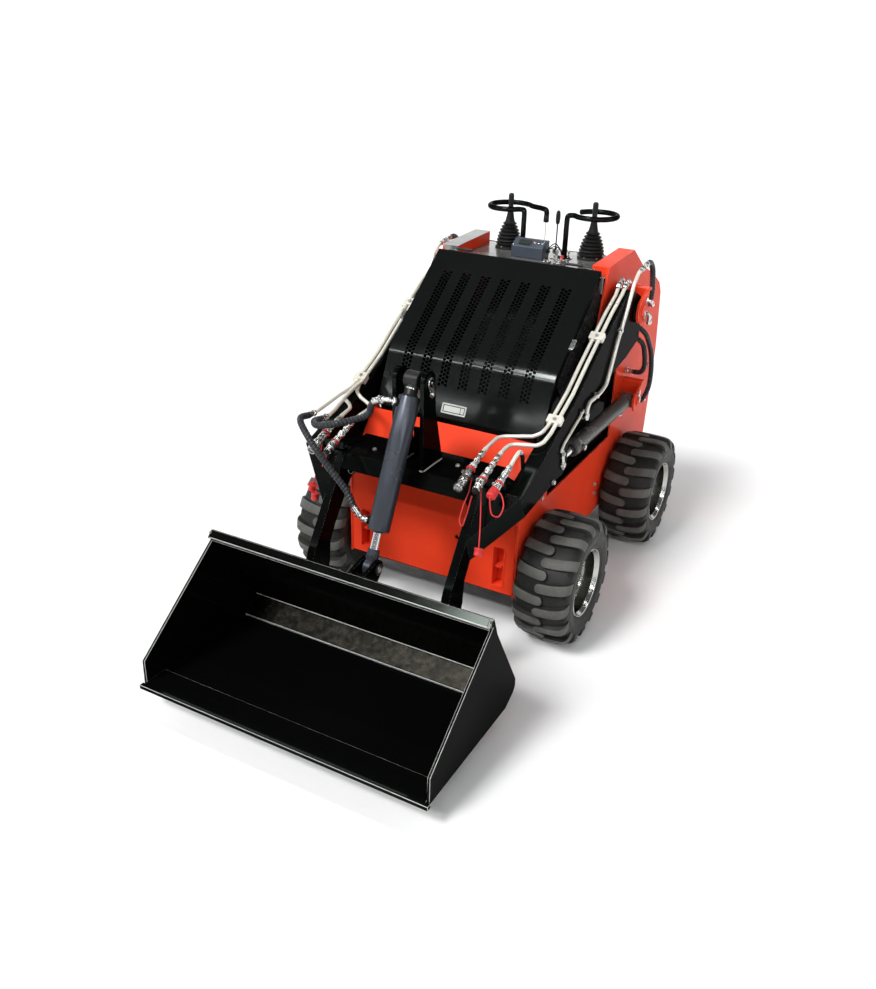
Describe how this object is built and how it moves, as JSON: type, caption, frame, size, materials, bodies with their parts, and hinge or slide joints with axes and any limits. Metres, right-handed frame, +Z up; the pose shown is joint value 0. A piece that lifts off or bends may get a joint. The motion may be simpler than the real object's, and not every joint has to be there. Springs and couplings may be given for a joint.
{
  "type": "stand-behind skid steer loader",
  "caption": "Compact walk-behind skid steer loader: wheeled chassis, lift arms, tilt cylinder, quick-attach frame and general-purpose bucket.",
  "frame": {"origin": "on the ground under the centre of the whole machine", "axes": "-Y is forward, towards the bucket; +X is the machine's left; +Z is up"},
  "size_m": [1.156, 2.581, 1.4574],
  "materials": {
    "red_paint": "gloss orange-red paint",
    "black_paint": "gloss black paint",
    "cylinder_grey": "satin slate-grey paint",
    "cylinder_olive": "satin grey-brown paint",
    "chrome_rod": "hard chrome",
    "zinc_line": "zinc-plated steel",
    "rim_silver": "silver paint",
    "tyre_rubber": "matt tyre rubber",
    "hose_rubber": "rubber with spiral guard",
    "boot_rubber": "moulded rubber",
    "grey_plastic": "moulded plastic",
    "drive_iron": "cast iron"
  },
  "bodies": {
    "chassis": {"side_plate_left": "red_paint", "side_plate_right": "red_paint", "front_panel": "red_paint", "belly_plate": "black_paint", "rear_cover": "black_paint", "control_deck": "black_paint", "engine_side_panel_left": "black_paint", "engine_side_panel_right": "black_paint", "engine": "drive_iron", "instrument_box": "grey_plastic", "joystick_left": "boot_rubber", "joystick_right": "boot_rubber", "hand_guard_left": "black_paint", "hand_guard_right": "black_paint", "step_hinge_left": "black_paint", "step_hinge_right": "black_paint", "axle_front": "drive_iron", "axle_rear": "drive_iron", "pivot_hose_left": "hose_rubber", "pivot_hose_right": "hose_rubber", "lift_hoses_left": "hose_rubber", "lift_hoses_right": "hose_rubber"},
    "loader_arms": {"loader_arm_left": "black_paint", "loader_arm_right": "black_paint", "crossbeam": "black_paint", "hydraulic_lines_left": "zinc_line", "hydraulic_lines_right": "zinc_line", "lift_line_left": "zinc_line", "lift_line_right": "zinc_line", "coupler_bank_left": "zinc_line", "coupler_bank_right": "zinc_line", "tilt_hose_upper": "hose_rubber", "tilt_hose_lower": "hose_rubber"},
    "bucket_carrier": {"quick_attach": "black_paint", "bucket": "black_paint", "cutting_edge": "black_paint"},
    "engine_hood": {"hood": "black_paint"},
    "platform": {"rider_step": "black_paint"},
    "tilt_barrel": {"tilt_cylinder_barrel": "cylinder_grey"},
    "tilt_rod": {"tilt_cylinder_rod": "chrome_rod"},
    "lift_barrel_left": {"lift_cylinder_barrel_left": "cylinder_olive"},
    "lift_rod_left": {"lift_cylinder_rod_left": "chrome_rod"},
    "lift_barrel_right": {"lift_cylinder_barrel_right": "cylinder_olive"},
    "lift_rod_right": {"lift_cylinder_rod_right": "chrome_rod"},
    "wheel_front_left": {"rim_front_left": "rim_silver", "tyre_front_left": "tyre_rubber"},
    "wheel_front_right": {"rim_front_right": "rim_silver", "tyre_front_right": "tyre_rubber"},
    "wheel_rear_left": {"rim_rear_left": "rim_silver", "tyre_rear_left": "tyre_rubber"},
    "wheel_rear_right": {"rim_rear_right": "rim_silver", "tyre_rear_right": "tyre_rubber"}
  },
  "joints": [
    {"name": "lift_arms", "type": "hinge", "parent": "chassis", "child": "loader_arms", "pos_m": [0, 0.5755, 1.076], "axis": [-1, 0, 0], "range_deg": [-3, 70], "deforming": ["pivot_hose_left", "pivot_hose_right"]},
    {"name": "tilt_bucket", "type": "hinge", "parent": "loader_arms", "child": "bucket_carrier", "pos_m": [0, -0.6745, 0.215], "axis": [1, 0, 0], "range_deg": [-15, 60]},
    {"name": "open_hood", "type": "hinge", "parent": "chassis", "child": "engine_hood", "pos_m": [0, 0.3365, 1.274], "axis": [-1, 0, 0], "range_deg": [0, 60]},
    {"name": "fold_step", "type": "hinge", "parent": "chassis", "child": "platform", "pos_m": [0, 1.0005, 0.222], "axis": [1, 0, 0], "range_deg": [0, 80]},
    {"name": "tilt_barrel_swing", "type": "hinge", "parent": "loader_arms", "child": "tilt_barrel", "pos_m": [0, -0.4595, 1.01], "axis": [-1, 0, 0], "range_deg": [-2.23, 5.91], "deforming": ["tilt_hose_upper", "tilt_hose_lower"]},
    {"name": "tilt_rod_slide", "type": "slide", "parent": "tilt_barrel", "child": "tilt_rod", "axis": [0, -0.429, -0.9033], "range_m": [-0.0568, 0.218]},
    {"name": "lift_barrel_swing_left", "type": "hinge", "parent": "chassis", "child": "lift_barrel_left", "pos_m": [0.3975, 0.6655, 0.667], "axis": [-1, 0, 0], "range_deg": [-3.24, 53.28]},
    {"name": "lift_rod_slide_left", "type": "slide", "parent": "lift_barrel_left", "child": "lift_rod_left", "axis": [0, -0.9999, 0.0125], "range_m": [-0.0191, 0.3794]},
    {"name": "lift_barrel_swing_right", "type": "hinge", "parent": "chassis", "child": "lift_barrel_right", "pos_m": [-0.3975, 0.6655, 0.667], "axis": [-1, 0, 0], "range_deg": [-3.24, 53.28]},
    {"name": "lift_rod_slide_right", "type": "slide", "parent": "lift_barrel_right", "child": "lift_rod_right", "axis": [0, -0.9999, 0.0125], "range_m": [-0.0191, 0.3794]},
    {"name": "roll_front_left", "type": "hinge", "parent": "chassis", "child": "wheel_front_left", "pos_m": [0.471, -0.1495, 0.2415], "axis": [1, 0, 0], "continuous": true},
    {"name": "roll_front_right", "type": "hinge", "parent": "chassis", "child": "wheel_front_right", "pos_m": [-0.471, -0.1495, 0.2415], "axis": [1, 0, 0], "continuous": true},
    {"name": "roll_rear_left", "type": "hinge", "parent": "chassis", "child": "wheel_rear_left", "pos_m": [0.471, 0.7545, 0.2415], "axis": [1, 0, 0], "continuous": true},
    {"name": "roll_rear_right", "type": "hinge", "parent": "chassis", "child": "wheel_rear_right", "pos_m": [-0.471, 0.7545, 0.2415], "axis": [1, 0, 0], "continuous": true}
  ],
  "couplings": [
    {"joint": "tilt_barrel_swing", "follows": "tilt_bucket", "ratio": 0.08181},
    {"joint": "tilt_rod_slide", "follows": "tilt_bucket", "m_per_rad": 0.20532},
    {"joint": "lift_barrel_swing_left", "follows": "lift_arms", "ratio": 0.74689},
    {"joint": "lift_rod_slide_left", "follows": "lift_arms", "m_per_rad": 0.3081},
    {"joint": "lift_barrel_swing_right", "follows": "lift_arms", "ratio": 0.74689},
    {"joint": "lift_rod_slide_right", "follows": "lift_arms", "m_per_rad": 0.3081}
  ]
}
